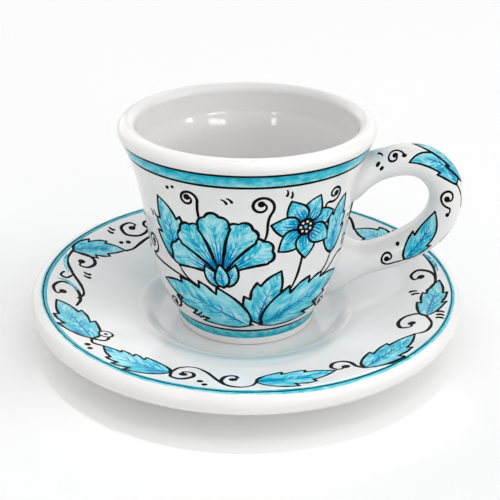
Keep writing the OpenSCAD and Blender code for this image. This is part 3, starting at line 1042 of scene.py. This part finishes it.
def paint_handle(cv):
    # x runs from the loop's inner edge (negative) to its outer edge, y from the upper root to the lower
    for side in (-1, 1):
        cv.at(side*90, 0.0, -side)
        leaf_to(cv, (3.9, 27.0), (1.2, 15.0), 2.8, bend=0.20, teeth=1, seed=200 + side, ink=0.6)
        leaf_to(cv, (1.9, 50.4), (-2.8, 34.0), 3.0, bend=-0.10, teeth=1, seed=210 + side, ink=0.6)
        spiral(cv, (3.4, 11.2), 2.6, 1.15, 90, -1, (), w=0.62, ball=0.82, seed=220 + side)
        disc(cv, INK, (3.4, 13.8), 0.6, ("ink", 1))
        spiral(cv, (0.6, 29.2), 2.7, 1.15, 90, 1, [(0.9, 33.6), (2.6, 32.6)], w=0.62, ball=0.85, seed=230 + side)
        disc(cv, INK, (0.8, 33.8), 0.6, ("ink", 1))
        stem(cv, [(3.9, 26.8), (4.9, 29.5), (5.3, 32.0)], 0.48, 5)
        spiral(cv, (-0.8, 54.2), 2.3, 1.15, 0, 1, [(2.0, 50.2), (1.9, 52.4)], w=0.62, ball=0.8, seed=240 + side)
        disc(cv, INK, (-3.4, 50.2), 0.66, ("ink", 2))
        dots(cv, 2.7, 6.4, 140, 0.72, 2.1)
        comma(cv, 6.0, 6.0, 100, 2.0, 0.8)
    cv.at(0, 0.0)
    leaf_to(cv, (-0.5, 27.5), (0.3, 15.6), 2.4, bend=-0.06, teeth=1, seed=250)
    stem(cv, [(-0.5, 27.5), (0.4, 31.5), (-0.2, 36.0)], 0.42, 6)
    leaf_to(cv, (-0.2, 36.0), (0.4, 48.0), 2.3, bend=0.06, teeth=1, seed=251)


handle_cv = Canvas(lambda v: REF_H, REF_H, -180.0)
paint_handle(handle_cv)
handle_rows = [S_END*k/HANDLE_ROWS for k in range(HANDLE_ROWS + 1)]
handle = mesh_piece("cup_handle_glazed", handle_surf, HANDLE_COLS, handle_cv,
                    (handle_rows[4], handle_rows[-5]), handle_rows, lambda v: GLAZE, False)
for ob, body, part in ((saucer, "saucer", "saucer"), (cup_bowl, "cup", "cup_bowl"), (handle, "cup", "cup_handle")):
    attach(ob, body)
    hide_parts(part)

# Floor and world. Where the world is seen, also in a reflection, it is white; its light is SKY.
FLOOR_HALF, FLOOR_WHITE, SKY = 3.0, 0.99, 0.52
me = bpy.data.meshes.new("floor")
me.from_pydata([(x*FLOOR_HALF, y*FLOOR_HALF, 0) for x, y in ((-1, -1), (1, -1), (1, 1), (-1, 1))], [],
               [(0, 1, 2, 3)])
floor = new_object("floor", me)
floor_mat, shader = new_material("floor")[:2]
shader.inputs["Base Color"].default_value = (FLOOR_WHITE, FLOOR_WHITE, FLOOR_WHITE, 1)
shader.inputs["Roughness"].default_value = 0.9
shader.inputs["Specular IOR Level"].default_value = 0.0
me.materials.append(floor_mat)
floor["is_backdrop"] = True

world = bpy.data.worlds.new("studio")
bpy.context.scene.world = world
world.use_nodes = True
wt = world.node_tree
bg = next(n for n in wt.nodes if n.type == "BACKGROUND")
rays = add_node(wt, "ShaderNodeLightPath").outputs
shown = rays["Is Camera Ray"]
for ray in ("Is Glossy Ray", "Is Transmission Ray"):
    shown = add_node(wt, "ShaderNodeMath", {0: shown, 1: rays[ray]}, operation="MAXIMUM").outputs[0]
sky = add_node(wt, "ShaderNodeMix", data_type="RGBA")
wt.links.new(shown, sky.inputs["Factor"])
sky.inputs[6].default_value = (SKY, SKY, SKY, 1)
sky.inputs[7].default_value = (1, 1, 1, 1)
wt.links.new(sky.outputs[2], bg.inputs["Color"])
bg.inputs["Strength"].default_value = 1.0


def lamp(name, kind, loc, target, power, **settings):
    """A lamp at loc that shines at target."""
    light = bpy.data.lights.new(name, kind)
    for key, value in settings.items():
        setattr(light, key, value)
    light.energy = power
    turn = (Vector(loc) - Vector(target)).to_track_quat("Z", "Y").to_matrix().to_4x4()
    new_object(name, light).matrix_world = Matrix.Translation(loc) @ turn


def direction(azimuth, elevation):
    e = radians(elevation)
    return Vector((*polar(cos(e), azimuth), sin(e)))


# Broad suns: azimuth, elevation, strength, spread
for name, az, el, power, spread in (
        ("right", 5, 25, 0.60, 50), ("front", 298, 50, 0.34, 55), ("right_high", 356, 54, 0.30, 50),
        ("left", 232, 55, 0.32, 50), ("back_left", 135, 25, 0.55, 50), ("back_right", 75, 28, 0.33, 50)):
    lamp(name, "SUN", direction(az, el), (0, 0, 0), power, angle=radians(spread))

# Small lamps for the glints in the cup and on its rim: azimuth, elevation, width, height, power
GLINT_AIM = Vector((0, 0, 0.055))
for k, (az, el, wide, high, power) in enumerate((
        (-47, 13, 0.34, 0.07, 0.75), (-113, 13, 0.09, 0.11, 0.32), (-13, 14, 0.12, 0.06, 0.4))):
    lamp("lamp_%d" % k, "AREA", direction(az, el) + GLINT_AIM, GLINT_AIM, power,
         shape="RECTANGLE", size=wide, size_y=high)

# Spots on the saucer's near side: one from the front, and four from above, OVER_R out from the middle
OVER_R, OVER_Z, FLANGE_Z = 0.0465, 0.4, 0.012
spots = [("low_front", (0.055, -0.204, 0.397), (0.005, -0.037, 0.009), 10.5, 2.0, 0.06)]
for k in range(4):
    x, y = polar(OVER_R, -126 + 28*k)
    spots.append(("over_%d" % k, (x, y, OVER_Z), (x, y, FLANGE_Z), 5.0, 3.2, 0.02))
for name, loc, target, cone, power, soft in spots:
    lamp(name, "SPOT", loc, target, power, spot_size=radians(cone), spot_blend=1.0, shadow_soft_size=soft)

# Camera: angles in degrees and distances in mm
VIEW_AZIMUTH, VIEW_ROLL, LENS = 8, 0.42, 69.15
EYE_OUT, EYE_Z, AIM_ASIDE, AIM_Z = 240.82, 141.81, 0.96, 23.86
alpha, roll = radians(VIEW_AZIMUTH), radians(VIEW_ROLL)
eye = Vector((EYE_OUT*sin(alpha), -EYE_OUT*cos(alpha), EYE_Z))*MM
aim = Vector((AIM_ASIDE*cos(alpha), AIM_ASIDE*sin(alpha), AIM_Z))*MM
fwd = (aim - eye).normalized()
level = fwd.cross(Vector((0, 0, 1))).normalized()
above = level.cross(fwd)
right, up = cos(roll)*level + sin(roll)*above, cos(roll)*above - sin(roll)*level
cam = bpy.data.cameras.new("camera")
cam.lens, cam.sensor_width, cam.clip_start = LENS, 36.0, 0.01
cam_ob = new_object("camera", cam)
cam_ob.matrix_world = Matrix((
    (right.x, up.x, -fwd.x, eye.x), (right.y, up.y, -fwd.y, eye.y), (right.z, up.z, -fwd.z, eye.z), (0, 0, 0, 1)))
bpy.context.scene.camera = cam_ob
bpy.context.scene.view_settings.view_transform = "Standard"

boxes = [[[round(float(c), 6) for c in corner] for corner in b] for b in (cad_box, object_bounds())]
